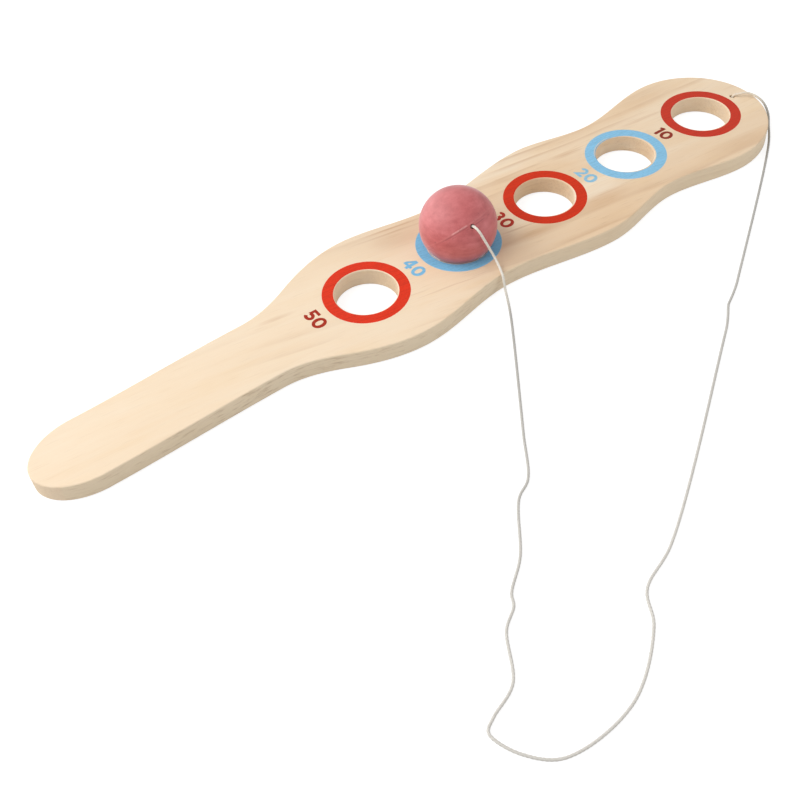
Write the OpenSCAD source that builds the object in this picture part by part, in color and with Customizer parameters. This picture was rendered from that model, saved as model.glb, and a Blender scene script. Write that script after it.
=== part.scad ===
// Paddle ball game: a flat wooden paddle with a row of five score holes,
// a rubber ball that is caught in one of them, and the cord that ties the ball
// to the tip of the paddle. The paddle lies flat, its printed face up, with its
// length along X, the handle towards -X and the origin under its middle.

/* [Length of the board] */
// Distance from the end of the handle to the centre of the first hole
handle_reach = 182; // [160:1:230]
// Distance between the centres of neighbouring holes
hole_pitch = 58; // [54:1:80]
// Distance from the centre of the last hole to the tip
tip_reach = 36; // [34:1:60]
// Length of the grip, from its end to where the board starts to widen
grip_len = 120; // [90:1:130]
// Length of the rounded end of the grip
grip_round = 28; // [16:1:40]

/* [Width of the board] */
// Width of the grip at its rounded end
grip_end_w = 39.5; // [30:0.5:50]
// Width of the grip where the board starts to widen
neck_w = 40.5; // [32:0.5:52]
// Width of the bulge round the first hole
first_bulge_w = 81; // [70:0.5:95]
// Width of the waist at the second hole
second_waist_w = 65; // [58:0.5:80]
// Width of the bulge round the third hole
third_bulge_w = 83.5; // [72:0.5:95]
// Width of the waist at the fourth hole
fourth_waist_w = 67.5; // [60:0.5:80]
// Width of the rounded end round the last hole
tip_w = 82.5; // [70:0.5:95]
// How far the middle line of the board lies to one side of the row of holes
row_shift = 0.6; // [-2:0.1:2]
// How much farther to that side the end of the grip lies
grip_drift = 2.3; // [-5:0.1:5]

/* [Thickness and edges] */
// Thickness of the board
board_t = 10; // [9:0.5:16]
// Radius of the sanded outer edges
edge_r = 0.7; // [0.4:0.1:3]
// Diameter of a score hole
hole_d = 32; // [26:0.5:36]
// Radius of the sanded rim of a score hole
rim_r = 0.8; // [0.4:0.1:2]

/* [Cord and its holes] */
// Diameter of the cord
cord_d = 1.4; // [1:0.1:2]
// Diameter of the cord's hole near the tip
tether_d = 3; // [2.4:0.1:4]
// Distance from the cord's hole to the tip
tether_inset = 10; // [8:0.5:14]
// Diameter of the pocket under the board that takes the knot
pocket_d = 7; // [6.8:0.1:9]
// Depth of the pocket under the board
pocket_depth = 5.2; // [5.1:0.1:6]

/* [Ball] */
// Diameter of the ball
ball_d = 40; // [37:0.5:48]
// Number of the hole that the ball sits in, counted from the handle
ball_hole = 2; // [1:1:5]
// Diameter of the bore through the ball
bore_d = 3; // [2.4:0.1:4]
// Diameter of the pocket that takes the knot in the ball
ball_pocket_d = 6.8; // [6.6:0.1:8]
// Depth of that pocket, measured along the bore from the ball's surface
ball_pocket_depth = 6; // [5.4:0.1:9]
// Direction of the open end of the bore round the Z axis
bore_azimuth = -101; // [-180:1:180]
// Rise of the open end of the bore above level
bore_rise = 33; // [20:1:60]

/* [Hidden] */

// Score holes in the row, and the shares of the pitch past its first hole at which
// the bulges and waists lie
hole_count = 5;
station_pitch_shares = [0.165, 1.09, 2.23, 3.02, 3.87];
// Where the flare of the shoulder is steepest, in pitches before the first hole, the share
// of its widening that it has reached there, and its slope
flare_place_share = 0.54;
flare_width_share = 0.44;
flare_slope_share = 0.51;

// Clearances: the ball over the rim of its hole, a knot in its pocket, and the
// two lengths of cord where they meet on the table
seat_gap = 0.3;
knot_gap = 0.3;
cord_gap = 0.3;
// How far a cut runs past the face that it opens
overrun = 1;

// Lengthwise places, measured from the end of the grip and then from the middle
board_len = handle_reach + (hole_count - 1) * hole_pitch + tip_reach;
middle = board_len / 2;
function hole_x(i) = handle_reach + i * hole_pitch - middle;
tip_centre = handle_reach + station_pitch_shares[4] * hole_pitch;
tip_len = board_len - tip_centre;
flare_at = handle_reach - flare_place_share * hole_pitch;
flare_half = (neck_w + flare_width_share * (first_bulge_w - neck_w)) / 2;
tether_x = board_len - tether_inset - middle;

// Stations of the outline: distance from the end of the grip, half width, slope
stations = [
  [grip_round, grip_end_w / 2, 0],
  [grip_len, neck_w / 2, 0],
  [flare_at, flare_half, flare_slope_share],
  [handle_reach + station_pitch_shares[0] * hole_pitch, first_bulge_w / 2, 0],
  [handle_reach + station_pitch_shares[1] * hole_pitch, second_waist_w / 2, 0],
  [handle_reach + station_pitch_shares[2] * hole_pitch, third_bulge_w / 2, 0],
  [handle_reach + station_pitch_shares[3] * hole_pitch, fourth_waist_w / 2, 0],
  [tip_centre, tip_w / 2, 0]
];

// Steps in one stretch of the outline, in one rounded end, in one rounded edge and
// in the rounded rim of a hole
stretch_steps = 14;
end_steps = 12;
edge_steps = 3;
rim_steps = 3;
round_fn = 96;

// A point between two stations, on the cubic curve that meets both slopes
function blend(a, b, t) =
  let (s = t * t * (3 - 2 * t), reach = b[0] - a[0])
  [a[0] + reach * t,
   a[1] + (b[1] - a[1]) * s + reach * (a[2] * t * pow(1 - t, 2) - b[2] * t * t * (1 - t))];

// The upper half of the outline, from the end of the grip to the tip
upper = concat(
  [for (i = [0:end_steps - 1]) let (a = 90 * i / end_steps)
    [grip_round * (1 - cos(a)), grip_end_w / 2 * sin(a)]],
  [for (k = [0:len(stations) - 2], i = [0:stretch_steps - 1])
    blend(stations[k], stations[k + 1], i / stretch_steps)],
  [for (i = [0:end_steps]) let (a = 90 * i / end_steps)
    [tip_centre + tip_len * sin(a), tip_w / 2 * cos(a)]]
);
// How far the middle line lies aside of the row of holes at a distance from the grip's end
function aside(s) =
  let (t = min(max((grip_len - s) / (grip_len - grip_round), 0), 1))
  row_shift + grip_drift * t * t * (3 - 2 * t);
// The whole outline, anticlockwise, round the middle of the board
outline = concat(
  [for (p = upper) [p[0] - middle, -p[1] - aside(p[0])]],
  [for (i = [len(upper) - 2:-1:1]) [upper[i][0] - middle, upper[i][1] - aside(upper[i][0])]]
);
sides = len(outline);
function unit(v) = v / norm(v);
// The direction that points out of the board at one point of the outline
function outward(i) =
  let (d = outline[(i + 1) % sides] - outline[(i + sides - 1) % sides])
  unit([d[1], -d[0]]);

// The levels of the edge: how far in from the outline, and how high. The first and the
// last run on past the faces, where the slab between the faces ends them.
function edge_level(a) = [edge_r * (1 - sin(a)), edge_r * (1 - cos(a))];
edge_side = concat(
  [2 * edge_level(0) - edge_level(90 / edge_steps)],
  [for (k = [1:edge_steps]) edge_level(90 * k / edge_steps)]
);
levels = concat(
  edge_side,
  [for (k = [edge_steps:-1:0]) [edge_side[k][0], board_t - edge_side[k][1]]]
);

module edge_loft() {
  points = [for (l = levels, i = [0:sides - 1])
    let (p = outline[i] - l[0] * outward(i)) [p[0], p[1], l[1]]];
  last = (len(levels) - 1) * sides;
  faces = concat(
    [[for (i = [0:sides - 1]) i]],
    [for (k = [0:len(levels) - 2], i = [0:sides - 1])
      let (j = (i + 1) % sides, a = k * sides, b = (k + 1) * sides)
      [a + i, b + i, b + j, a + j]],
    [[for (i = [sides - 1:-1:0]) last + i]]
  );
  polyhedron(points, faces, convexity = 6);
}

module board_blank() {
  intersection() {
    translate([-middle, -middle, 0]) cube([board_len, board_len, board_t]);
    edge_loft();
  }
}

// The side of a score hole's cut near one face, as distance from the hole's axis and
// height over that face. The last chord of the rounding runs on past the face.
function rim_point(a) = [hole_d / 2 + rim_r * (1 - cos(a)), rim_r * (sin(a) - 1)];
rim_mouth = 2 * rim_point(90) - rim_point(90 - 90 / rim_steps);
rim_side = concat(
  [for (k = [0:rim_steps - 1]) rim_point(90 * k / rim_steps)],
  [rim_mouth, [rim_mouth[0], overrun]]
);

module score_hole() {
  rotate_extrude($fn = round_fn)
    polygon(concat(
      [for (i = [len(rim_side) - 1:-1:0]) [rim_side[i][0], -rim_side[i][1]]],
      [for (p = rim_side) [p[0], board_t + p[1]]],
      [[0, board_t + overrun], [0, -overrun]]
    ));
}

module paddle() {
  color("#EBCFA8")
    difference() {
      board_blank();
      for (i = [0:hole_count - 1]) translate([hole_x(i), 0, 0]) score_hole();
      translate([tether_x, 0, -overrun])
        cylinder(d = tether_d, h = board_t + 2 * overrun, $fn = round_fn);
      translate([tether_x, 0, -overrun])
        cylinder(d = pocket_d, h = pocket_depth + overrun, $fn = round_fn);
    }
}

// The ball rests on the rounded rim of its hole, clear of it by the seat gap
ball_r = ball_d / 2;
ball_x = hole_x(ball_hole - 1);
seat_reach = ball_r + rim_r + seat_gap;
seat_ring = hole_d / 2 + rim_r;
ball_z = board_t - rim_r + sqrt(seat_reach * seat_reach - seat_ring * seat_ring);
ball_centre = [ball_x, 0, ball_z];
bore_dir = [
  cos(bore_rise) * cos(bore_azimuth), cos(bore_rise) * sin(bore_azimuth), sin(bore_rise)
];

// Turns the Z axis into the direction of the open end of the bore
module along_bore() {
  translate(ball_centre)
    rotate([0, 90 - bore_rise, bore_azimuth])
      children();
}

module ball() {
  color("#CB6F72")
    along_bore()
      difference() {
        sphere(r = ball_r, $fn = round_fn);
        cylinder(d = bore_d, h = ball_d + 2 * overrun, center = true, $fn = round_fn);
        translate([0, 0, -ball_r - overrun])
          cylinder(d = ball_pocket_d, h = ball_pocket_depth + overrun, $fn = round_fn);
      }
}

// A knot is a trefoil of cord drawn tight: its ring and its wave in cord diameters,
// and how far over its middle the cord that it ends is taken up
knot_ring_share = 1.07;
knot_wave_share = 0.53;
knot_mouth_share = 0.66;
knot_steps = 48;
knot_half = knot_wave_share * cord_d + cord_d / 2;
knot_mouth = knot_mouth_share * cord_d;
tip_knot_z = pocket_depth - knot_gap - knot_half;
ball_knot_z = ball_r - ball_pocket_depth + knot_gap + knot_half;

function trefoil(a) =
  let (ring = cord_d * (knot_ring_share + knot_wave_share * cos(3 * a)))
  [ring * cos(2 * a), ring * sin(2 * a), cord_d * knot_wave_share * sin(3 * a)];

tube_sides = 8;
// Carries a side direction along the path, kept square to the path
function carried(n, t) = unit(n - (n * t) * t);
function side_start(t) = carried(abs(t[2]) < 0.9 ? [0, 0, 1] : [1, 0, 0], t);
function sides_along(dirs) = [
  for (i = 0, n = side_start(dirs[0]); i < len(dirs);
       i = i + 1, n = i < len(dirs) ? carried(n, dirs[i]) : n) n
];
function tube_rings(path, dirs, frames) = [
  for (i = [0:len(path) - 1], k = [0:tube_sides - 1])
    let (a = 360 * k / tube_sides, n = frames[i], m = cross(dirs[i], n))
    path[i] + cord_d / 2 * (cos(a) * n + sin(a) * m)
];
function tube_walls(first, second) = [
  for (k = [0:tube_sides - 1])
    let (j = (k + 1) % tube_sides)
    each [[first + k, second + j, first + j], [first + k, second + k, second + j]]
];

// A tube with flat ends along an open path
module open_tube(path) {
  last = len(path) - 1;
  dirs = [for (i = [0:last]) unit(path[min(i + 1, last)] - path[max(i - 1, 0)])];
  rings = tube_rings(path, dirs, sides_along(dirs));
  faces = concat(
    [[for (k = [0:tube_sides - 1]) k]],
    [for (i = [0:last - 1]) each tube_walls(i * tube_sides, (i + 1) * tube_sides)],
    [[for (k = [tube_sides - 1:-1:0]) last * tube_sides + k]]
  );
  polyhedron(rings, faces, convexity = 8);
}

// The tube of a knot round the Z axis, whose sides are square to the ring it waves on
module trefoil_tube() {
  step = 360 / knot_steps;
  path = [for (i = [0:knot_steps - 1]) trefoil(i * step)];
  dirs = [for (i = [0:knot_steps - 1]) unit(trefoil((i + 1) * step) - trefoil((i - 1) * step))];
  centres = [for (i = [0:knot_steps - 1])
    let (a = 2 * i * step) cord_d * knot_ring_share * [cos(a), sin(a), 0]];
  frames = [for (i = [0:knot_steps - 1]) carried(path[i] - centres[i], dirs[i])];
  rings = tube_rings(path, dirs, frames);
  faces = [for (i = [0:knot_steps - 1])
    each tube_walls(i * tube_sides, ((i + 1) % knot_steps) * tube_sides)];
  polyhedron(rings, faces, convexity = 10);
}

module tip_knot() {
  color("#EFE6D6")
    translate([tether_x, 0, tip_knot_z]) trefoil_tube();
}

module ball_knot() {
  color("#EFE6D6")
    along_bore()
      translate([0, 0, -ball_knot_z]) trefoil_tube();
}

// The cord's route. From its knot it comes up through the board, makes a low arc
// over the face and the edge of the tip, and lies in one long loose loop on the table
// in front of the paddle. It then goes up over the front edge to the ball.
tip_route = [
  [215.3, -0.4, 10.4], [217.2, -3.2, 12.3], [219.8, -5, 12.7],
  [222.9, -8.8, 11.7], [224.8, -14.4, 9.1], [224.5, -19.5, 4.6],
  [219.7, -25.1, 1.7]
];
table_route = [
  [206.7, -37, 1], [102, -109.5, 0.75], [76, -127.5, 0.75],
  [-26, -195.5, 0.75], [-48.5, -205, 0.75], [-58, -218.5, 0.75],
  [-86.5, -237, 0.75], [-120, -237.5, 0.75], [-131.5, -227, 0.75],
  [-136, -216, 0.75], [-135.5, -213, 0.75], [-130.5, -210, 0.75],
  [-116.5, -204, 0.75], [-104, -185, 0.75], [-95, -178.5, 0.75],
  [-92, -173.5, 0.75], [-78.5, -162.5, 0.75], [-60, -139.5, 0.75],
  [-50.5, -134, 0.75], [-35.5, -113, 0.75]
];
rise_route = [
  [7, -52.5, 0.9], [13, -42.8, 1.2], [15.8, -37.1, 3.9],
  [16.5, -34.1, 10.5], [18.3, -28.4, 12.6], [19, -24.2, 14.6],
  [15.5, -22.4, 24.1], [12.7, -20.8, 31.5], [12.3, -19.2, 32.7],
  [12.2, -17, 32.9]
];
// Rings between two points of the route, and how deep in the bore the cord lies in
// line with it, in cord diameters
route_steps = 2;
mouth_share = 1.8;

// The square root of each chord is the curve's own measure, so that a long chord
// beside a short one draws no loop
function reach(p, q) = sqrt(norm(q - p));
// The slope of the smooth curve at b, where it comes from a and goes on to c
function slope(a, b, c) =
  let (u = reach(a, b), v = reach(b, c))
  u == 0 ? (c - b) / v : v == 0 ? (b - a) / u
  : ((b - a) * v / u + (c - b) * u / v) / (u + v);
// A point between b and c on the smooth curve through a, b, c and d
function through(a, b, c, d, t) =
  let (s = t * t * (3 - 2 * t), v = reach(b, c))
  b + (c - b) * s + v * (slope(a, b, c) * t * pow(1 - t, 2) - slope(b, c, d) * t * t * (1 - t));
function smooth(pts) = concat(
  [for (i = [0:len(pts) - 2], k = [0:route_steps - 1])
    through(pts[max(i - 1, 0)], pts[i], pts[i + 1], pts[min(i + 2, len(pts) - 1)],
            k / route_steps)],
  [pts[len(pts) - 1]]
);

main_path = smooth(concat(
  [[tether_x, 0, tip_knot_z + knot_mouth]], tip_route, table_route
));
table_end = table_route[len(table_route) - 1];
end_start = table_end + cord_gap * unit(rise_route[0] - table_end);
end_path = smooth(concat(
  [end_start], rise_route,
  [ball_centre + (ball_r - mouth_share * cord_d) * bore_dir,
   ball_centre - (ball_knot_z - knot_mouth) * bore_dir]
));

module cord_main() {
  color("#EFE6D6") open_tube(main_path);
}

module cord_end() {
  color("#EFE6D6") open_tube(end_path);
}

paddle();
ball();
cord_main();
cord_end();
tip_knot();
ball_knot();
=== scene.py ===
"""Paddle ball game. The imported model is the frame, and the pieces made here give it its looks.

Every length is in metres, in the model's own frame: the board lies flat, its printed face
up, with its length along X and the handle towards -X.
"""

import math

import bpy
from mathutils import Matrix, Vector
from mathutils.geometry import tessellate_polygon


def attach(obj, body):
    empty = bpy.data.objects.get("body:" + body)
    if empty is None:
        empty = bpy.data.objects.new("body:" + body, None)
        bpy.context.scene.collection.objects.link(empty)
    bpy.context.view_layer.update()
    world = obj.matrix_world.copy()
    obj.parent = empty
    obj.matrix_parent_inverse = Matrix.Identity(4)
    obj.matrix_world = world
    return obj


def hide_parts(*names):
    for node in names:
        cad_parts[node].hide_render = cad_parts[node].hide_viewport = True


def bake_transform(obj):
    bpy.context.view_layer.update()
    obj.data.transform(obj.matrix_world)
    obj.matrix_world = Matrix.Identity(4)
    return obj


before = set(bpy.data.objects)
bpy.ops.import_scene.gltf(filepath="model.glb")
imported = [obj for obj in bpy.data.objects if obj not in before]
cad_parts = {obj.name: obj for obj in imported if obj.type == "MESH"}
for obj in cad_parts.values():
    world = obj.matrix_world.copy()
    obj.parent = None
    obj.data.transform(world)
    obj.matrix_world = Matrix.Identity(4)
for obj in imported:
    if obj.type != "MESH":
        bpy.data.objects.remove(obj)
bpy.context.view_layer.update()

MM = 0.001
scene = bpy.context.scene

# Sizes that the model's source gives too
BOARD_T = 10 * MM
EDGE_R = 0.7 * MM
HOLE_R = 16 * MM
RIM_R = 0.8 * MM
HOLE_X = [-43 * MM, 15 * MM, 73 * MM, 131 * MM, 189 * MM]
TETHER_X = 215 * MM
TETHER_R = 1.5 * MM
POCKET_R = 3.5 * MM
POCKET_DEPTH = 5.2 * MM
CORD_D = 1.4 * MM
BALL_R = 20 * MM
BORE_R = 1.5 * MM
BALL_POCKET_R = 3.4 * MM
BALL_POCKET_DEPTH = 6 * MM
BORE_DIR = Vector((-0.16003, -0.82326, 0.54464)).normalized()
ROOM = 0.3 * MM
BALL_Z = BOARD_T - RIM_R + math.sqrt(
    (BALL_R + RIM_R + ROOM) ** 2 - (HOLE_R + RIM_R) ** 2
)
BALL = Vector((HOLE_X[1], 0, BALL_Z))
KNOT_HALF = 1.03 * CORD_D
TIP_KNOT = Vector((TETHER_X, 0, POCKET_DEPTH - ROOM - KNOT_HALF))
BALL_KNOT_Z = BALL_R - BALL_POCKET_DEPTH + ROOM + KNOT_HALF
BALL_KNOT = BALL - BALL_KNOT_Z * BORE_DIR

# Finer forms of the ball. The bore narrows at its mouth, and the skin lies a little low,
# against the near side of its hole, more so from this far off the bore on.
MOUTH_R = 1.15 * MM
NARROW = 1.5 * MM
LEAN = Vector((0.03, -0.1, -0.25)) * MM
LEAN_FROM, LEAN_OVER = 4 * MM, 6 * MM
SEAM_DIR = Vector((-0.13, 0.65, 0.75)).normalized()


def linear(*rgb):
    """A display colour, 0 to 255, as the linear colour that a shader takes."""
    out = []
    for c in rgb:
        c = c / 255
        out.append(c / 12.92 if c <= 0.04045 else ((c + 0.055) / 1.055) ** 2.4)
    return (*out, 1.0)


def grey(level):
    return (level, level, level, 1.0)


def square_to(up):
    """Two directions square to this one and to each other."""
    first = (Vector((1, 0, 0)) - up.x * up).normalized()
    return first, up.cross(first)


def make_camera():
    """The camera, which stands where the photograph was taken."""
    data = bpy.data.cameras.new("camera")
    data.sensor_width = 36
    data.lens = 49.176
    data.clip_start = 0.01
    camera = bpy.data.objects.new("camera", data)
    scene.collection.objects.link(camera)
    right = Vector((0.811658, -0.580621, -0.063958))
    down = Vector((-0.472688, -0.588527, -0.655898))
    forward = Vector((0.343187, 0.562597, -0.752135))
    turn = Matrix((right, -down, -forward)).transposed()
    camera.matrix_world = Matrix.Translation((-0.24165, -0.34790, 0.38295)) @ turn.to_4x4()
    scene.camera = camera


def new_mesh(name, points, faces, normals=None, smooth=True):
    """An object whose mesh has these points and faces, with its own normals if given."""
    mesh = bpy.data.meshes.new(name)
    mesh.from_pydata([tuple(p) for p in points], [], faces)
    mesh.update()
    mesh.polygons.foreach_set("use_smooth", [smooth] * len(mesh.polygons))
    if normals is not None:
        mesh.normals_split_custom_set_from_vertices([tuple(n) for n in normals])
    piece = bpy.data.objects.new(name, mesh)
    scene.collection.objects.link(piece)
    return piece


# The cord: one smooth curve through the same points as in the model
CORD_POINTS = [
    (215, 0, 4.382),
    (215.3, -0.4, 10.4), (217.2, -3.2, 12.3), (219.8, -5, 12.7),
    (222.9, -8.8, 11.7), (224.8, -14.4, 9.1), (224.5, -19.5, 4.6), (219.7, -25.1, 1.7),
    (206.7, -37, 1), (102, -109.5, 0.75), (76, -127.5, 0.75), (-26, -195.5, 0.75),
    (-48.5, -205, 0.75), (-58, -218.5, 0.75), (-86.5, -237, 0.75), (-120, -237.5, 0.75),
    (-131.5, -227, 0.75), (-136, -216, 0.75), (-135.5, -213, 0.75), (-130.5, -210, 0.75),
    (-116.5, -204, 0.75), (-104, -185, 0.75), (-95, -178.5, 0.75), (-92, -173.5, 0.75),
    (-78.5, -162.5, 0.75), (-60, -139.5, 0.75), (-50.5, -134, 0.75), (-35.5, -113, 0.75),
    (7, -52.5, 0.9), (13, -42.8, 1.2), (15.8, -37.1, 3.9), (16.5, -34.1, 10.5),
    (18.3, -28.4, 12.6), (19, -24.2, 14.6), (15.5, -22.4, 24.1), (12.7, -20.8, 31.5),
    (12.3, -19.2, 32.7), (12.2, -17, 32.9),
]

# The cord's line ends this far from a knot's middle, and runs straight into the ball's
# bore from this far under the skin on
INTO_KNOT, UNDER_SKIN = 0.66 * CORD_D, 1.8 * CORD_D
# The three strands make one turn in this length of cord
LAY = 5.2 * MM
# The kink: its middle, the way it goes, how far, the stretch it takes and its roundness
KINK = Vector((95.5, -114.0, 0.75)) * MM
KINK_DIR = Vector((-0.57, 0.823, 0))
KINK_BY, KINK_OVER, KINK_R = 1.7 * MM, 17 * MM, 0.9 * MM


def cord_route():
    """The route's points, on into both knots."""
    route = [Vector(p) * MM for p in CORD_POINTS]
    route[0].z = TIP_KNOT.z + INTO_KNOT
    route.append(BALL + (BALL_R - UNDER_SKIN) * BORE_DIR)
    route.append(BALL - (BALL_KNOT_Z - INTO_KNOT) * BORE_DIR)
    return route


def smooth_curve(route, spacing):
    """Points about one spacing apart on the smooth curve through the route's points."""
    def slope(i):
        back = route[i] - route[i - 1] if i > 0 else None
        on = route[i + 1] - route[i] if i < len(route) - 1 else None
        if back is None:
            return on / math.sqrt(on.length)
        if on is None:
            return back / math.sqrt(back.length)
        u, v = math.sqrt(back.length), math.sqrt(on.length)
        return (back * v / u + on * u / v) / (u + v)

    points = []
    for i in range(len(route) - 1):
        chord = route[i + 1] - route[i]
        reach = math.sqrt(chord.length)
        first, last = slope(i), slope(i + 1)
        steps = max(2, math.ceil(chord.length / spacing))
        for k in range(steps):
            t = k / steps
            s = t * t * (3 - 2 * t)
            points.append(
                route[i] + chord * s
                + reach * (first * t * (1 - t) ** 2 - last * t * t * (1 - t))
            )
    points.append(route[-1])
    return points


def kinked(points):
    """The same points with the small kink that the cord has on the ground."""
    out = []
    for p in points:
        far = math.sqrt((p - KINK).length_squared + KINK_R ** 2) / KINK_OVER
        out.append(p + KINK_BY * max(0.0, 1 - far) ** 1.6 * KINK_DIR)
    return out


def directions(points, closed):
    """The way that the line runs at each of its points."""
    n = len(points)
    out = []
    for i in range(n):
        a = points[(i - 1) % n] if closed or i else points[0]
        b = points[(i + 1) % n] if closed or i < n - 1 else points[-1]
        out.append((b - a).normalized())
    return out


def strand_tube(name, points, closed=False, radius=CORD_D / 2, centres=None, turns=0):
    """A tube whose section has three lobes that wind round it, as three plied strands do."""
    sides = 12
    dirs = directions(points, closed)
    side = Vector((0, 0, 1)) if abs(dirs[0].z) < 0.9 else Vector((1, 0, 0))
    verts, gone = [], 0.0
    length = sum((q - p).length for p, q in zip(points, points[1:] + points[:1]))
    for i, (point, d) in enumerate(zip(points, dirs)):
        if centres:
            side = point - centres[i]
        side = (side - side.dot(d) * d).normalized()
        across = d.cross(side)
        if i:
            gone += (point - points[i - 1]).length
        turn = 2 * math.pi * (gone / length * turns if closed else gone / LAY)
        for k in range(sides):
            a = 2 * math.pi * k / sides
            lobe = 1 - 0.1 * (1 - math.cos(3 * (a - turn)))
            verts.append(point + radius * lobe * (math.cos(a) * side + math.sin(a) * across))
    faces = []
    n = len(points)
    for i in range(n if closed else n - 1):
        for k in range(sides):
            j, m = (k + 1) % sides, (i + 1) % n
            faces.append((i * sides + k, i * sides + j, m * sides + j, m * sides + k))
    if not closed:
        faces.append(tuple(range(sides - 1, -1, -1)))
        faces.append(tuple((n - 1) * sides + k for k in range(sides)))
    return new_mesh(name, verts, faces)


def join(name, pieces):
    """One object with all the pieces' meshes, whose places are in their points."""
    verts, faces = [], []
    for piece in pieces:
        start = len(verts)
        verts += [v.co.copy() for v in piece.data.vertices]
        faces += [tuple(start + i for i in p.vertices) for p in piece.data.polygons]
        mesh = piece.data
        bpy.data.objects.remove(piece)
        bpy.data.meshes.remove(mesh)
    return new_mesh(name, verts, faces)


# The knot's loop, in cord diameters: its middle radius and how far it swings to each side
# of that and up and down. The cord's cut end is a little thinner than the cord.
KNOT_RADIUS, KNOT_SWING, KNOT_END_R = 1.07, 0.53, 0.46


def make_knot(name, centre, up, tail):
    """A trefoil of cord drawn tight round the axis up, with the cord's cut end under it."""
    first, second = square_to(up)
    steps = 150
    points, centres = [], []
    for i in range(steps):
        a = 2 * math.pi * i / steps
        way = math.cos(2 * a) * first + math.sin(2 * a) * second
        ring = CORD_D * (KNOT_RADIUS + KNOT_SWING * math.cos(3 * a))
        points.append(centre + ring * way + CORD_D * KNOT_SWING * math.sin(3 * a) * up)
        centres.append(centre + CORD_D * KNOT_RADIUS * way)
    loop = strand_tube(name + "_loop", points, closed=True, centres=centres, turns=6)
    route = [centre + (x * first + y * second + z * up) * CORD_D for x, y, z in tail]
    route = smooth_curve(route, 0.25 * MM)
    end = strand_tube(name + "_end", route, radius=CORD_D * KNOT_END_R)
    return join(name, [loop, end])


# The board's outline, in mm: its stations give the distance from the grip's end, half the
# width and the slope there
BOARD_LEN, GRIP_LEN, GRIP_ROUND, GRIP_END_W = 450, 120, 28, 39.5
ROW_SHIFT, GRIP_DRIFT = 0.6, 2.3
STATIONS = [
    (28, 19.75, 0), (120, 20.25, 0), (150.68, 29.16, 0.51), (191.57, 40.5, 0),
    (245.22, 32.5, 0), (311.34, 41.75, 0), (357.16, 33.75, 0), (406.46, 41.25, 0),
]


def aside(x):
    """How far the middle line lies aside of the holes at this distance from the grip's end."""
    t = min(max((GRIP_LEN - x) / (GRIP_LEN - GRIP_ROUND), 0), 1)
    return ROW_SHIFT + GRIP_DRIFT * t * t * (3 - 2 * t)


def board_outline(stretch_steps, end_steps):
    """The outline as points and outward directions, anticlockwise from the grip's end."""
    upper = []
    for i in range(end_steps):
        a = math.pi / 2 * i / end_steps
        upper.append((GRIP_ROUND * (1 - math.cos(a)), GRIP_END_W / 2 * math.sin(a)))
    for (x0, y0, m0), (x1, y1, m1) in zip(STATIONS, STATIONS[1:]):
        for i in range(stretch_steps):
            t = i / stretch_steps
            s = t * t * (3 - 2 * t)
            reach = x1 - x0
            bow = reach * (m0 * t * (1 - t) ** 2 - m1 * t * t * (1 - t))
            upper.append((x0 + reach * t, y0 + (y1 - y0) * s + bow))
    x0, y0, _ = STATIONS[-1]
    for i in range(end_steps + 1):
        a = math.pi / 2 * i / end_steps
        upper.append((x0 + (BOARD_LEN - x0) * math.sin(a), y0 * math.cos(a)))
    line = [(x - BOARD_LEN / 2, -y - aside(x)) for x, y in upper]
    line += [(x - BOARD_LEN / 2, y - aside(x)) for x, y in upper[-2:0:-1]]
    points = [Vector((x, y)) * MM for x, y in line]
    n = len(points)
    outward = []
    for i in range(n):
        d = points[(i + 1) % n] - points[i - 1]
        outward.append(Vector((d.y, -d.x)).normalized())
    return points, outward


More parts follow.
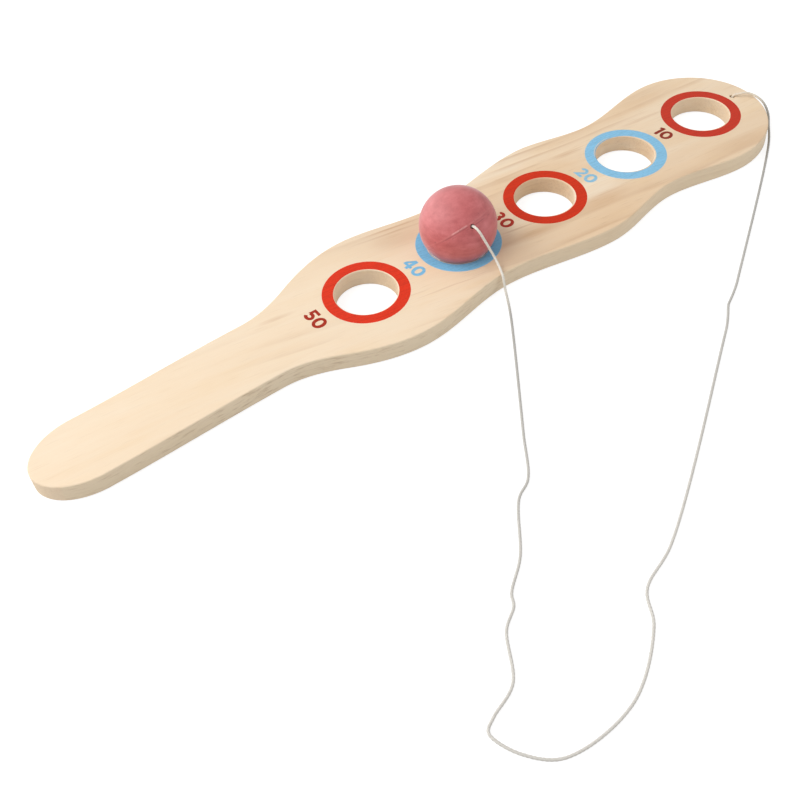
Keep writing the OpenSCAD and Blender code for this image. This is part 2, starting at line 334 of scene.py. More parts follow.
def make_board():
    """The board, with its five holes, the tether's hole and the pocket under that."""
    verts, normals, faces = [], [], []

    def add_ring(points, outward, out, z, rise):
        """One closed line of points; out and rise are its normal's parts."""
        start = len(verts)
        for p, d in zip(points, outward):
            verts.append(Vector((p.x, p.y, z)))
            normals.append(Vector((d.x * out, d.y * out, rise)).normalized())
        return list(range(start, len(verts)))

    def join_rings(low, high):
        n = len(low)
        for i in range(n):
            j = (i + 1) % n
            faces.append((low[i], low[j], high[j], high[i]))

    def stack(profile, line):
        """The wall with this profile along the line, and its lowest and highest ring."""
        rings = [add_ring(*line(offset), out, z, rise) for offset, z, out, rise in profile]
        for low, high in zip(rings, rings[1:]):
            join_rings(low, high)
        return rings[0], rings[-1]

    def round_profile(radius, low, high, steps, low_radius=None):
        """Offsets into the wood, heights and normals, from the lower edge to the upper."""
        low_radius = radius if low_radius is None else low_radius
        out = []
        for k in range(steps + 1):
            a = math.pi / 2 * k / steps
            out.append((low_radius * (1 - math.sin(a)), low + low_radius * (1 - math.cos(a)),
                        math.sin(a), -math.cos(a)))
        for k in range(steps + 1):
            a = math.pi / 2 * k / steps
            out.append((radius * (1 - math.cos(a)), high - radius * (1 - math.sin(a)),
                        math.cos(a), math.sin(a)))
        return out

    outer, outward = board_outline(36, 30)

    def outer_line(offset):
        return [p - offset * d for p, d in zip(outer, outward)], outward

    def hole_line(x, radius, count):
        """The line round a hole, as a function of the offset into the wood."""
        def line(offset):
            turns = [2 * math.pi * k / count for k in range(count)]
            inward = [Vector((-math.cos(a), math.sin(a))) for a in turns]
            points = [Vector((x, 0)) - (radius + offset) * d for d in inward]
            return points, inward
        return line

    bottom, top = [], []
    low, high = stack(round_profile(EDGE_R, 0, BOARD_T, 8), outer_line)
    bottom.append(low)
    top.append(high)
    for x in HOLE_X:
        low, high = stack(round_profile(RIM_R, 0, BOARD_T, 6), hole_line(x, HOLE_R, 128))
        bottom.append(low)
        top.append(high)
    low, high = stack(
        round_profile(0.25 * MM, POCKET_DEPTH, BOARD_T, 4, 0.1 * MM),
        hole_line(TETHER_X, TETHER_R, 48),
    )
    top.append(high)
    pocket_top = low
    line = hole_line(TETHER_X, POCKET_R, 48)
    bevel = 0.3 * MM
    low = add_ring(*line(bevel), 0.0, 0.0, -1.0)
    wall = add_ring(*line(0.0), 1.0, bevel, 0.0)
    upper = add_ring(*line(0.0), 1.0, POCKET_DEPTH, 0.0)
    ceiling = add_ring(*line(0.0), 0.0, POCKET_DEPTH, -1.0)
    join_rings(low, wall)
    join_rings(wall, upper)
    join_rings(ceiling, pocket_top)
    bottom.append(low)

    for loops, up in ((top, True), (bottom, False)):
        flat = [i for loop in loops for i in loop]
        for tri in tessellate_polygon([[verts[i] for i in loop] for loop in loops]):
            a, b, c = (flat[i] for i in tri)
            turn = (verts[b] - verts[a]).cross(verts[c] - verts[a]).z
            if turn:
                faces.append((a, b, c) if (turn > 0) == up else (a, c, b))
    return new_mesh("board", verts, faces, normals)


# The print: thin raised rings and numbers of ink. Each stroke of a digit lies one step
# higher than the one before, so that they may cross.
INK = 0.03 * MM
STROKE_STEP = 0.004 * MM
RING_OUT = 22.35 * MM


def rim_drop(r):
    """How far a hole's rounded rim lies below the face at this distance from its middle."""
    into = min(max((HOLE_R + RIM_R - r) / RIM_R, 0), 1)
    return RIM_R * (1 - math.sqrt(1 - into * into))


def make_ring(name, x, right, up, inner):
    """A ring of ink round the hole at x, this far off its middle, which follows the rim."""
    n = 144
    radii = [inner + (RING_OUT - inner) * k / 12 for k in range(13)]
    # Closer together at both edges, where the ink rises from the wood
    radii[1:2] = [inner + 0.05 * MM, inner + 0.15 * MM, inner + 0.3 * MM]
    radii.insert(-1, RING_OUT - 0.05 * MM)
    profile = [(r, 0 if r in (inner, RING_OUT) else INK) for r in radii]
    verts, faces = [], []
    for r, h in profile:
        for k in range(n):
            a = 2 * math.pi * k / n
            u, v = right + r * math.cos(a), up + r * math.sin(a)
            verts.append((x + u, v, BOARD_T + h - rim_drop(math.hypot(u, v))))
    for i in range(len(profile) - 1):
        for k in range(n):
            j = (k + 1) % n
            faces.append((i * n + k, (i + 1) * n + k, (i + 1) * n + j, i * n + j))
    return new_mesh(name, verts, faces, smooth=False)


# The digits' height, stroke, gap and widths, in mm
DIGIT_H, STROKE, DIGIT_GAP = 7.7, 1.75, 0.75
DIGIT_W = {"0": 6.7, "1": 3.05, "2": 5.5, "3": 5.6, "4": 5.9, "5": 5.5}


def arc(cx, cy, rx, ry, start, end, steps):
    """Points of an oval arc, its angles in degrees, anticlockwise from +u."""
    out = []
    for i in range(steps + 1):
        a = math.radians(start + (end - start) * i / steps)
        out.append((cx + rx * math.cos(a), cy + ry * math.sin(a)))
    return out


def digit_strokes(digit):
    """The digit's parts, u to the right and v up from its foot, in mm.

    A line is a stroke's middle line, a fill an outline, and a ring an outline and its hole.
    """
    s = STROKE / 2
    top = DIGIT_H - s
    if digit == "0":
        middle = DIGIT_H / 2
        return [("ring", arc(3.35, middle, 3.35, middle, 0, 360, 64)[:-1],
                 arc(3.35, middle, 1.4, middle - 1.6, 0, 360, 64)[:-1])]
    if digit == "1":
        return [("fill", [(1.15, 0), (3.05, 0), (3.05, DIGIT_H), (1.6, DIGIT_H),
                          (0.05, 6.85), (0.05, 5.55), (1.15, 5.95)])]
    if digit == "2":
        curve = arc(2.65, top - 1.8, 1.8, 1.8, 165, -38, 26)
        return [("line", curve + [(1.15, s), (5.45, s)])]
    if digit == "3":
        return [
            ("line", arc(2.6, top - 1.45, 1.7, 1.45, 155, -90, 26)),
            ("line", arc(2.55, s + 1.55, 2.0, 1.55, 90, -155, 28)),
        ]
    if digit == "4":
        return [("ring", [(3.1, 0), (4.9, 0), (4.9, 1.55), (5.9, 1.55), (5.9, 3.05),
                          (4.9, 3.05), (4.9, DIGIT_H), (3.0, DIGIT_H), (0.1, 3.1),
                          (0.1, 1.55), (3.1, 1.55)],
                 [(3.1, 3.05), (1.75, 3.05), (3.1, 5.2)])]
    bar = DIGIT_H - 1.55
    return [
        ("fill", [(0.3, 3.5), (1.9, 4.2), (2.05, bar), (5.35, bar), (5.35, DIGIT_H),
                  (0.5, DIGIT_H)]),
        ("line", arc(2.55, s + 1.68, 2.05, 1.68, 132, -150, 30)),
    ]


def stroke_outline(line):
    """The outline of a line that is one stroke wide, with mitred corners."""
    points = [Vector(p) for p in line]
    ways = [(b - a).normalized() for a, b in zip(points, points[1:])]
    left, right = [], []
    for p, d0, d1 in zip(points, ways[:1] + ways, ways + ways[-1:]):
        normal = Vector((-(d0 + d1).y, (d0 + d1).x)).normalized()
        stretch = min(1 / max(normal.dot(Vector((-d0.y, d0.x))), 0.1), 2.0)
        left.append(p + normal * stretch * STROKE / 2)
        right.append(p - normal * stretch * STROKE / 2)
    return [tuple(p) for p in left + right[::-1]]


def make_number(name, text, x, centre, shift):
    """A number across the board, its top towards the ring at x, shifted to its right."""
    verts, faces = [], []
    shift -= (sum(DIGIT_W[d] for d in text) + DIGIT_GAP * (len(text) - 1)) / 2

    def place(u, v):
        return Vector((x + (centre + v - DIGIT_H / 2) * MM, -u * MM, 0))

    def flat(loops, h):
        """A patch of ink of this height, with its edges; the second loop is a hole in it."""
        polygons = [[place(u, v) for u, v in loop] for loop in loops]
        points = [p for polygon in polygons for p in polygon]
        first = len(verts)
        verts.extend((p.x, p.y, BOARD_T + h) for p in points)
        for i, j, k in tessellate_polygon(polygons):
            if (points[j] - points[i]).cross(points[k] - points[i]).z < 0:
                j, k = k, j
            faces.append((first + i, first + j, first + k))
        for polygon in polygons:
            n, low = len(polygon), len(verts)
            verts.extend((p.x, p.y, BOARD_T) for p in polygon)
            for i in range(n):
                j = (i + 1) % n
                faces.append((first + i, first + j, low + j, low + i))
            first += n

    for digit in text:
        for k, (kind, *lines) in enumerate(digit_strokes(digit)):
            moved = [[(u + shift, v) for u, v in line] for line in lines]
            h = INK + k * STROKE_STEP
            if kind == "line":
                flat([stroke_outline(moved[0])], h)
            else:
                flat(moved, h)
        shift += DIGIT_W[digit] + DIGIT_GAP
    return new_mesh(name, verts, faces, smooth=False)


def on_skin(out):
    """The place this far out from the ball's centre, which leans more far from the bore."""
    r = (out - out.dot(BORE_DIR) * BORE_DIR).length
    return BALL + out + LEAN * min(1.0, max(0.0, (r - LEAN_FROM) / LEAN_OVER))


def make_ball():
    """The ball, turned round the axis of its bore, with the pocket for the knot under it."""
    up = BORE_DIR
    first, second = square_to(up)
    profile = []

    def lip(radius, rounding, sign):
        """The lip between a hole of this radius and the ball's surface."""
        r = radius + rounding
        h = math.sqrt((BALL_R - rounding) ** 2 - r * r)
        end = math.atan2(h, r)
        return [
            (r + rounding * math.cos(a), sign * (h + rounding * math.sin(a)))
            for a in (math.pi + (end - math.pi) * k / 6 for k in range(7))
        ], end

    floor = -(BALL_R - BALL_POCKET_DEPTH)
    ease = 0.2 * MM
    mouth, top_end = lip(MOUTH_R, ease, 1)
    heel, low_end = lip(BALL_POCKET_R, 0.35 * MM, -1)
    for k in range(6):
        profile.append((BORE_R, floor + (mouth[0][1] - NARROW - floor) * k / 5))
    profile += mouth
    steps = 84
    for k in range(1, steps):
        a = top_end + (-low_end - top_end) * k / steps
        profile.append((BALL_R * math.cos(a), BALL_R * math.sin(a)))
    profile += reversed(heel)
    profile.append((BALL_POCKET_R, floor + ease))
    profile.append((BALL_POCKET_R - ease, floor))
    n = 144
    verts, faces = [], []
    for r, h in profile:
        for k in range(n):
            a = 2 * math.pi * k / n
            verts.append(on_skin(h * up + r * (math.cos(a) * first + math.sin(a) * second)))
    m = len(profile)
    for i in range(m):
        for k in range(n):
            j = (k + 1) % n
            faces.append((i * n + k, i * n + j, ((i + 1) % m) * n + j, ((i + 1) % m) * n + k))
    return new_mesh("ball_skin", verts, faces)


def make_seam():
    """The thin line of rubber that the two halves of the mould leave round the ball."""
    up = SEAM_DIR
    first, second = square_to(up)
    n, section = 240, []
    for k in range(7):
        a = math.pi * k / 6
        section.append((math.cos(a), math.sin(a)))
    verts, faces = [], []
    for i in range(n):
        a = 2 * math.pi * i / n
        d = math.cos(a) * first + math.sin(a) * second
        # It stands out most beside the hole for the cord, and nearly ends elsewhere
        grow = 0.12 + 0.1 * math.exp(-((a - 4.5) / 1.0) ** 2)
        grow += (0.9 + 0.3 * math.sin(23 * a)) * math.exp(-((a - 4.2) / 0.21) ** 4)
        for x, y in section:
            rise = (0.22 * y * grow - 0.03) * MM
            verts.append(on_skin((BALL_R + rise) * d + 0.3 * MM * x * grow * up))
    m = len(section)
    for i in range(n):
        j = (i + 1) % n
        for k in range(m - 1):
            faces.append((i * m + k, i * m + k + 1, j * m + k + 1, j * m + k))
    return new_mesh("ball_seam", verts, faces)


# Materials. The fibres run aslant by the first number and bend by the second, per metre.
GRAIN_SLANT, GRAIN_BEND = 0.195, -0.26


class Graph:
    """Short calls for the nodes of one material."""

    def __init__(self, name):
        self.material = bpy.data.materials.new(name)
        self.material.use_nodes = True
        self.tree = self.material.node_tree
        self.tree.nodes.clear()
        self.out = self.tree.nodes.new("ShaderNodeOutputMaterial")

    def node(self, kind, **inputs):
        """A node with its inputs set or linked, each by its name or as i and its number."""
        made = self.tree.nodes.new("ShaderNode" + kind)
        for key in ("operation", "data_type"):
            if key in inputs:
                setattr(made, key, inputs.pop(key))
        for key, value in inputs.items():
            socket = made.inputs[int(key[1:]) if key[0] == "i" and key[1:].isdigit() else key]
            if isinstance(value, bpy.types.NodeSocket):
                self.tree.links.new(value, socket)
            else:
                socket.default_value = value
        return made

    def math(self, operation, a, b=0.5):
        return self.node("Math", operation=operation, i0=a, i1=b).outputs[0]

    def times(self, a, b):
        return self.math("MULTIPLY", a, b)

    def plus(self, a, b):
        return self.math("ADD", a, b)

    def minus(self, a, b):
        return self.math("SUBTRACT", a, b)

    def over(self, a, b):
        return self.math("DIVIDE", a, b)

    def clamp(self, value):
        return self.node("Clamp", Value=value).outputs[0]

    def parts(self, vector):
        """The vector's x, y and z."""
        return self.node("SeparateXYZ", Vector=vector).outputs[:]

    def noise(self, vector, scale, detail, roughness=0.5):
        made = self.node("TexNoise", Vector=vector, Scale=scale, Detail=detail,
                         Roughness=roughness)
        return made.outputs["Fac"]

    def ramp(self, value, stops):
        """A ramp through these stops, each a place and a colour or a level of grey."""
        made = self.node("ValToRGB", Fac=value)
        ramp = made.color_ramp
        while len(ramp.elements) < len(stops):
            ramp.elements.new(0.5)
        for element, (place, colour) in zip(ramp.elements, stops):
            element.position = place
            element.color = colour if isinstance(colour, tuple) else grey(colour)
        return made.outputs["Color"]

    def mix(self, factor, a, b):
        return self.node("Mix", data_type="RGBA", i0=factor, i6=a, i7=b).outputs[2]

    def scaled(self, vector, scale):
        made = self.node("Mapping", Vector=vector)
        made.inputs["Scale"].default_value = scale
        return made.outputs["Vector"]

    def grain_place(self):
        """The place on the board, measured along fibres that run aslant and bend a little."""
        x, y, z = self.parts(self.node("TexCoord").outputs["Object"])
        bend = self.times(self.times(x, self.math("ABSOLUTE", x)), GRAIN_BEND)
        lean = self.plus(self.times(x, GRAIN_SLANT), bend)
        return self.node("CombineXYZ", X=x, Y=self.plus(y, lean), Z=z).outputs[0]

    def bump(self, height, distance, strength):
        made = self.node("Bump", Height=height, Distance=distance, Strength=strength)
        return made.outputs[0]

    def finish(self, **inputs):
        shader = self.node("BsdfPrincipled", **inputs)
        self.tree.links.new(shader.outputs[0], self.out.inputs[0])
        return self.material


# Streaks of darker grain: place and half length along the board, place and half width
# across it, in mm, and strength. The third, broad one, beside the ball, is a painted shadow of
# the ball.
STREAKS = [
    (-3, 22, 31.6, 1.1, 0.6), (-8, 28, 29.2, 1.6, 0.4), (-6, 20, 22, 9.0, 0.3),
    (-8, 25, -23.5, 0.7, 0.4), (-30, 20, -16.5, 0.6, 0.25), (-88, 12, 12.5, 2.2, 0.3),
    (46, 13, -11.2, 0.9, 0.45), (52, 24, -21, 4.0, 0.3), (66, 14, 24.5, 2.4, 0.3),
    (106, 14, 20.5, 1.5, 0.4), (160, 20, 18.0, 1.8, 0.3), (99, 16, -18.4, 1.5, 0.4),
    (93, 24, -20, 8.0, 0.3), (186, 34, -33, 8.0, 0.25), (176, 26, 31, 9.0, 0.15),
]


def wood_material():
    """Pale pine, whose grain grows stronger and warmer towards the tip."""
    g = Graph("pine")
    coords = g.node("TexCoord")
    along, across, _ = g.parts(coords.outputs["Object"])
    place = g.grain_place()
    grain_x, grain_y, grain_z = g.parts(place)
    # Growth rings: distance from the pith, which lies under the board along the fibres
    bend = g.noise(g.scaled(place, (5, 16, 16)), 1.0, 2.0)
    bend = g.times(g.minus(bend, 0.5), 0.03)
    pith_y = g.plus(g.plus(grain_y, bend), -0.01)
    pith_z = g.plus(grain_z, 0.06)
    far = g.math("SQRT", g.plus(g.times(pith_y, pith_y), g.times(pith_z, pith_z)))
    rings = g.math("FRACT", g.times(far, 260.0))
    ring_tone = g.ramp(rings, [(0.0, 0.0), (0.55, 0.2), (0.88, 1.0), (1.0, 0.0)])
    broken = g.noise(g.scaled(place, (16, 60, 60)), 1.0, 2.0)
    broken = g.ramp(broken, [(0.45, 0.0), (0.65, 1.0)])
    ring_tone = g.times(ring_tone, broken)
    # Broad warm bands, which grow towards the tip
    wide = g.noise(g.scaled(place, (7, 42, 30)), 1.0, 1.5)
    towards_tip = g.ramp(g.plus(g.times(along, 3.0), 0.42),
                         [(0.0, 0.12), (0.3, 0.25), (0.69, 1.0), (1.0, 0.5)])
    bands = g.ramp(wide, [(0.42, 0.0), (0.58, 1.0)])
    bands = g.times(bands, towards_tip)
    # The ground tone, from clouds and fine streaks that grow stronger towards the tip
    cloud = g.noise(g.scaled(place, (22, 70, 70)), 1.0, 3.0, 0.6)
    streak = g.noise(g.scaled(place, (11, 230, 260)), 1.0, 4.0, 0.65)
    fibre = g.noise(g.scaled(place, (70, 2600, 1800)), 1.0, 3.0, 0.6)
    dash = g.noise(g.scaled(place, (75, 1300, 900)), 1.0, 2.0, 0.5)
    dash = g.ramp(dash, [(0.60, 0.0), (0.72, 1.0)])
    tone = g.plus(g.times(streak, 0.45), g.times(cloud, 0.55))
    depth = g.plus(g.times(towards_tip, 0.75), 0.4)
    tone = g.plus(g.times(g.minus(tone, 0.5), depth), 0.5)
    base = g.ramp(tone, [(0.34, linear(236, 210, 174)), (0.47, linear(239, 217, 188)),
                         (0.62, linear(240, 222, 197))])
    colour = g.mix(g.times(bands, 0.68), base, linear(224, 191, 153))
    shown = g.plus(g.times(towards_tip, 0.34), 0.12)
    ring_tone = g.times(ring_tone, shown)
    colour = g.mix(ring_tone, colour, linear(190, 146, 104))
    # The single streaks, with wavy sides; one of them is a painted shadow of the ball
    wave = g.times(g.minus(streak, 0.5), 0.006)
    marks = None
    for x, half, y, width, strength in STREAKS:
        level = y * MM + GRAIN_SLANT * x * MM + GRAIN_BEND * x * abs(x) * MM ** 2
        u = g.over(g.minus(grain_x, x * MM), half * MM)
        v = g.over(g.minus(g.plus(grain_y, wave), level), width * MM)
        near = g.minus(1.0, g.plus(g.times(u, u), g.times(v, v)))
        near = g.math("POWER", g.math("MAXIMUM", near, 0.0), 1.6)
        mark = g.times(near, strength)
        marks = mark if marks is None else g.math("MAXIMUM", marks, mark)
    marks = g.times(marks, g.plus(fibre, 0.5))
    colour = g.mix(marks, colour, linear(196, 152, 110))
    # Fibres and short dark dashes
    fine = g.ramp(fibre, [(0.3, 0.0), (0.72, 1.0)])
    colour = g.mix(g.times(fine, 0.06), colour, linear(196, 156, 116))
    dash = g.times(dash, g.plus(g.times(towards_tip, 0.2), 0.06))
    colour = g.mix(dash, colour, linear(176, 138, 96))
    # The side of the board, farther out than the holes, is paler and greyer: partly its sanded
    # wood, partly painted light that sets how bright and grey its shaded walls look
    facing_x, _, facing_z = g.parts(coords.outputs["Normal"])
    outer = g.minus(g.math("ABSOLUTE", across), HOLE_R + 0.5 * MM)
    outer = g.clamp(g.over(outer, MM))
    side = g.times(g.minus(1.0, g.times(facing_z, facing_z)), outer)
    colour = g.mix(g.times(side, 0.6), colour, linear(236, 219, 190))
    # Its grain shows as short brown lines, most of them towards the grip
    lines = g.noise(g.scaled(place, (110, 160, 900)), 1.0, 3.0, 0.65)
    lines = g.ramp(lines, [(0.53, 0.0), (0.7, 1.0)])
    to_grip = g.ramp(g.plus(g.times(along, 2.0), 0.5),
                     [(0.05, 0.25), (0.25, 0.5), (0.4, 0.4), (0.7, 0.1)])
    lines = g.times(g.times(lines, side), to_grip)
    colour = g.mix(lines, colour, linear(172, 136, 98))
    # End grain
    end = g.math("POWER", g.math("ABSOLUTE", facing_x), 2.0)
    pores = g.noise(g.scaled(place, (300, 1100, 1100)), 1.0, 3.0, 0.7)
    spots = g.ramp(pores, [(0.35, linear(182, 152, 118)), (0.62, linear(222, 196, 162))])
    colour = g.mix(g.times(end, 0.35), colour, spots)
    rough = g.plus(g.times(fibre, 0.2), 0.5)
    height = g.plus(g.times(fibre, 0.7), g.times(ring_tone, 0.5))
    normal = g.bump(height, 0.05 * MM, 0.5)
    return g.finish(**{"Base Color": colour, "Roughness": rough, "Normal": normal,
                       "Specular IOR Level": 0.3})


def ink_material(name, colour):
    """Flat ink that lets the grain show a little."""
    g = Graph(name)
    place = g.grain_place()
    grain = g.noise(g.scaled(place, (60, 1500, 1500)), 1.0, 3.0, 0.6)
    cover = g.noise(place, 900.0, 3.0, 0.6)
    dark = [c * 0.9 for c in colour]
    tone = g.plus(g.times(grain, 0.6), g.times(cover, 0.4))
    tone = g.ramp(tone, [(0.36, linear(*dark)), (0.56, linear(*colour))])
    rough = g.plus(g.times(grain, 0.25), 0.4)
    normal = g.bump(grain, 0.03 * MM, 0.6)
    return g.finish(**{"Base Color": tone, "Roughness": rough, "Normal": normal,
                       "Specular IOR Level": 0.2})


def rubber_material():
    """Old red rubber, cloudy and pitted along the seam, with painted highlights and painted
    shade.
    """
    g = Graph("rubber")
    place = g.node("TexCoord").outputs["Object"]
    cloud = g.noise(place, 110.0, 4.0, 0.65)
    brushed = g.noise(g.scaled(place, (60, 160, 420)), 1.0, 3.0, 0.6)
    speck = g.noise(place, 2600.0, 3.0, 0.65)
    tone = g.plus(g.times(cloud, 0.6), g.times(brushed, 0.4))
    tone = g.ramp(tone, [(0.38, linear(184, 84, 85)), (0.5, linear(199, 99, 100)),
                         (0.62, linear(210, 113, 115))])
    specks = g.ramp(speck, [(0.4, 0.0), (0.75, 1.0)])
    tone = g.mix(g.times(specks, 0.2), tone, linear(168, 78, 78))
    # Painted light: a paler highlight over the side that faces the lamps, and painted shade on
    # the side under it
    out = g.node("VectorMath", operation="SUBTRACT", i0=place, i1=tuple(BALL))
    facing = g.node("VectorMath", operation="DOT_PRODUCT", i0=out.outputs[0],
                    i1=(-0.45, 0.6, 0.66))
    facing_lamps = g.plus(g.over(facing.outputs["Value"], 2 * BALL_R), 0.5)
    painted_highlight = g.ramp(facing_lamps, [(0.66, 0.0), (0.98, 0.2)])
    tone = g.mix(painted_highlight, tone, linear(232, 166, 166))
    painted_shade_under = g.ramp(facing_lamps, [(0.2, 0.16), (0.45, 0.0)])
    tone = g.mix(painted_shade_under, tone, linear(160, 62, 64))
    # How far a place lies from the seam, in mm, and the pitted strip beside it, with painted
    # shade in the groove along the ridge
    along = g.node("VectorMath", operation="DOT_PRODUCT", i0=place, i1=tuple(SEAM_DIR))
    middle = (BALL + LEAN).dot(SEAM_DIR)
    off = g.over(g.minus(along.outputs["Value"], middle), MM)

    def line(centre, width):
        """How near a place lies to a line this far off the seam, from 0 to 1."""
        far = g.math("ABSOLUTE", g.minus(off, centre))
        return g.clamp(g.minus(1.0, g.over(far, width)))

    patch = g.ramp(g.noise(place, 150.0, 2.0), [(0.42, 0.55), (0.56, 1.0)])
    # From the ball's one end along the board to its other
    ahead = g.plus(g.over(g.minus(g.parts(place)[0], BALL.x), 2 * BALL_R), 0.5)
    # The ridge's painted highlight is strongest beside the hole for the cord, the groove's
    # painted shade a little farther on
    light = g.ramp(ahead, [(0.16, 0.08), (0.185, 1.0), (0.25, 0.9), (0.262, 0.35),
                           (0.275, 1.0), (0.35, 1.0), (0.37, 0.12), (0.9, 0.0)])
    dark = g.ramp(ahead, [(0.04, 0.1), (0.1, 0.7), (0.35, 1.0), (0.38, 0.3), (0.6, 0.35),
                          (0.7, 0.0)])
    groove_painted_shade = g.times(g.times(line(-0.75, 0.5), patch), dark)
    second = g.ramp(g.noise(place, 210.0, 2.0), [(0.5, 0.0), (0.6, 1.0)])
    second = g.times(line(-1.9, 0.25), second)
    pits = g.ramp(g.noise(place, 900.0, 2.0), [(0.66, 0.0), (0.74, 1.0)])
    pits = g.times(pits, line(0.0, 4.0))
    pits_and_painted_shade = g.clamp(g.plus(g.plus(groove_painted_shade, second), pits))
    # Painted shade in the groove beside the ridge, with a second dark line and the darker pits
    tone = g.mix(g.times(pits_and_painted_shade, 0.7), tone, linear(128, 48, 50))
    # A painted highlight along the seam's ridge
    ridge_highlight = g.times(g.times(line(0.05, 0.6), patch), light)
    tone = g.mix(g.times(ridge_highlight, 0.9), tone, linear(246, 190, 186))
    rough = g.plus(g.times(speck, 0.2), 0.5)
    height = g.minus(g.times(speck, 0.4), pits_and_painted_shade)
    normal = g.bump(height, 0.1 * MM, 0.6)
    return g.finish(**{"Base Color": tone, "Roughness": rough, "Normal": normal,
                       "Specular IOR Level": 0.8, "Sheen Weight": 0.45,
                       "Sheen Roughness": 0.35})


def cotton_material():
    """Soft white cotton, a little soiled, with painted shade that greys it on the ground and
    painted light where it crosses the ball and the board.
    """
    g = Graph("cotton")
    place = g.node("TexCoord").outputs["Object"]
    hairs = g.noise(place, 3200.0, 4.0, 0.7)
    soil = g.noise(place, 60.0, 2.0)
    lit_cream = g.ramp(hairs, [(0.3, linear(216, 210, 198)), (0.65, linear(250, 245, 235))])
    ground_shade_grey = g.ramp(hairs, [(0.3, linear(150, 148, 143)), (0.65, linear(194, 192, 187))])
    far_loop_shade_grey = g.ramp(hairs, [(0.3, linear(188, 184, 177)), (0.65, linear(230, 226, 219))])
    # Painted shade: grey where it lies on the ground, least at the far end of the loop
    off = g.times(g.parts(place)[1], -5.0)
    tone = g.mix(g.ramp(off, [(0.3, 0.0), (1.0, 1.0)]), ground_shade_grey, far_loop_shade_grey)
    # Painted light: paler and creamier where it meets the ball and the board
    for centre, stops, colour in (
        (tuple(BALL), [(0.4, 1.0), (0.56, 0.0)], lit_cream),
        ((TETHER_X, 0, BOARD_T), [(0.12, 0.85), (0.2, 0.0)], linear(238, 226, 206)),
    ):
        reach = g.node("VectorMath", operation="DISTANCE", i0=place, i1=centre)
        near = g.ramp(g.times(reach.outputs["Value"], 10.0), stops)
        tone = g.mix(near, tone, colour)
    tone = g.mix(g.times(soil, 0.1), tone, linear(196, 188, 172))
    normal = g.bump(hairs, 0.06 * MM, 0.8)
    return g.finish(**{"Base Color": tone, "Roughness": 0.85, "Normal": normal,
                       "Specular IOR Level": 0.2, "Sheen Weight": 0.2,
                       "Sheen Roughness": 0.5})


def make_stage():
    """The white floor, which takes the object's shadow."""
    half, low = 6.0, -0.2 * MM
    corners = [(-half, -half, low), (half, -half, low), (half, half, low), (-half, half, low)]
    floor = new_mesh("floor", corners, [(0, 1, 2, 3)])
    g = Graph("floor")
    rays = g.node("LightPath")
    seen = g.math("MAXIMUM", rays.outputs["Is Camera Ray"], rays.outputs["Is Glossy Ray"])
    seen = g.math("MAXIMUM", seen, rays.outputs["Is Transmission Ray"])
    # What is seen is white, with enough of the floor's own shade to keep the shadow
    diffuse = g.node("BsdfDiffuse", Color=g.mix(seen, grey(0.66), grey(0.35)))
    glow = g.node("Emission", Color=grey(1.0), Strength=g.times(seen, 0.8))
    both = g.node("AddShader", i0=diffuse.outputs[0], i1=glow.outputs[0])
    g.tree.links.new(both.outputs[0], g.out.inputs[0])
    floor.data.materials.append(g.material)


def make_world():
    """A plain white room, which is brighter to look at than it shines."""
    world = bpy.data.worlds.new("world")
    scene.world = world
    world.use_nodes = True
    tree = world.node_tree
    tree.nodes.clear()
    rays = tree.nodes.new("ShaderNodeLightPath")
    mix = tree.nodes.new("ShaderNodeMixShader")
    tree.links.new(rays.outputs["Is Camera Ray"], mix.inputs[0])
    for socket, strength in ((1, 0.5), (2, 1.0)):
        plain = tree.nodes.new("ShaderNodeBackground")
        plain.inputs["Color"].default_value = grey(1.0)
        plain.inputs["Strength"].default_value = strength
        tree.links.new(plain.outputs[0], mix.inputs[socket])
    out = tree.nodes.new("ShaderNodeOutputWorld")
    tree.links.new(mix.outputs[0], out.inputs[0])


def make_lamp(name, place, aim, size, energy):
    """A round lamp of this size in metres and this power in watts."""
    data = bpy.data.lights.new(name, "AREA")
    data.shape = "DISK"
    data.size = size
    data.energy = energy
    lamp = bpy.data.objects.new(name, data)
    scene.collection.objects.link(lamp)
    lamp.location = place
    towards = (Vector(aim) - Vector(place)).normalized()
    lamp.rotation_euler = towards.to_track_quat("-Z", "Y").to_euler()


make_camera()

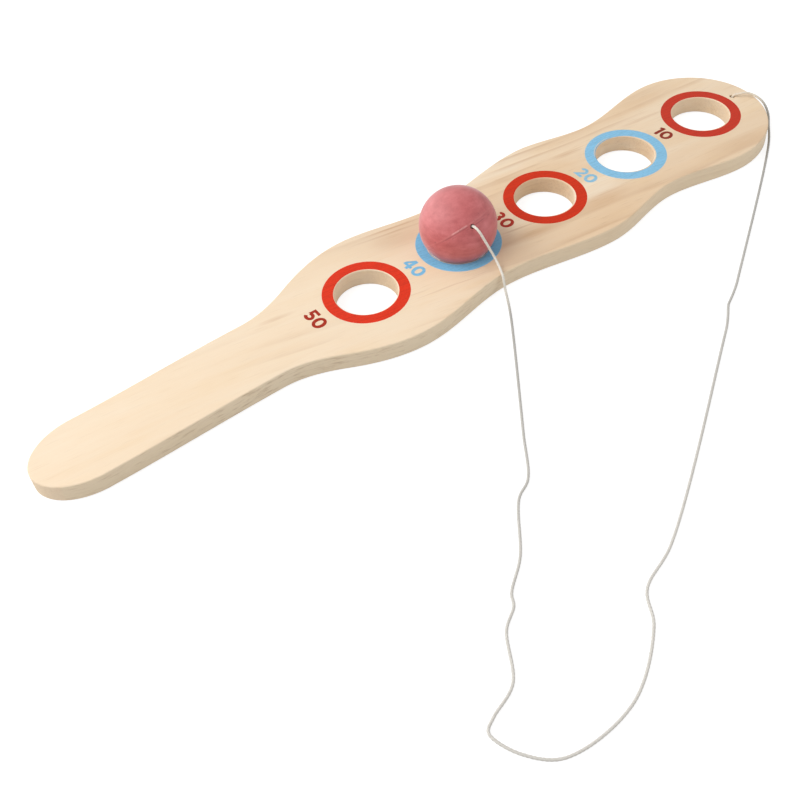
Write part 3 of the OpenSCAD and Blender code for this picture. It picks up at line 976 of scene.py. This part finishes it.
# The cord comes first, with its knots, whose cut ends run through these points, in cord
# diameters from the knot's middle
cotton = cotton_material()
tip_knot = make_knot(
    "knot_under_tip", TIP_KNOT, Vector((0, 0, 1)),
    [(0.75, 0.1, -0.2), (0.5, 0.35, -0.75), (0.55, 0.5, -1.25), (0.85, 0.55, -1.75)],
)
ball_knot = make_knot(
    "knot_in_ball", BALL_KNOT, BORE_DIR,
    [(0.75, 0.1, -0.2), (0.45, 0.3, -0.75), (0.3, 0.45, -1.25), (0.25, 0.6, -1.8)],
)
cord_line = kinked(smooth_curve(cord_route(), 0.5 * MM))
cord = strand_tube("tether_cord", cord_line)
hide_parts("cord_main", "cord_end")
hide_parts("tip_knot")
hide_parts("ball_knot")
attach(tip_knot, "paddle")
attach(ball_knot, "cord_end")
for piece in (cord, tip_knot, ball_knot):
    piece.data.materials.append(cotton)
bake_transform(cord)

board = make_board()
board.data.materials.append(wood_material())
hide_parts("paddle")
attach(board, "paddle")

# Each number with its ring: the inks of the ring and of the number, how far the ring lies off
# the hole, how far the number lies off it, and the inner radius of the ring, in mm
PRINTS = [
    ("50", (223, 53, 24), (168, 46, 26), (0.0, -0.1), (-30.3, 0.67), 16.6),
    ("40", (125, 191, 228), (125, 191, 228), (0.0, -0.05), (-29.0, 1.27), 16.1),
    # The number 30's ink is painted lighter, as painted light against the ball's shadow that
    # falls on it
    ("30", (210, 50, 17), (180, 50, 34), (0.1, -0.28), (-29.1, 0.97), 16.6),
    ("20", (139, 196, 229), (146, 196, 222), (0.2, -0.45), (-29.0, 1.1), 16.6),
    ("10", (202, 56, 36), (146, 50, 36), (0.0, -0.3), (-29.1, 0.65), 16.6),
]
for x, (score, ring_colour, colour, (right, up), place, inner) in zip(HOLE_X, PRINTS):
    ring = make_ring("ring_" + score, x, right * MM, up * MM, inner * MM)
    ring.data.materials.append(ink_material("ink_of_ring_" + score, ring_colour))
    number = make_number("number_" + score, score, x, *place)
    number.data.materials.append(ink_material("ink_of_number_" + score, colour))
    for piece in (ring, number):
        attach(piece, "paddle")

rubber = rubber_material()
skin = make_ball()
seam = make_seam()
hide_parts("ball")
for piece in (skin, seam):
    piece.data.materials.append(rubber)
    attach(piece, "ball")

make_stage()
make_world()
make_lamp("key", (-1.0, 0.42, 1.11), (0, 0, 0), 1.4, 17.0)
make_lamp("side", (0.6, -0.75, 0.34), (0.05, 0, 0), 0.6, 2.0)
make_lamp("back", (-0.3, 0.95, 0.36), (0, 0, 0), 0.7, 3.2)

scene.view_settings.view_transform = "Standard"
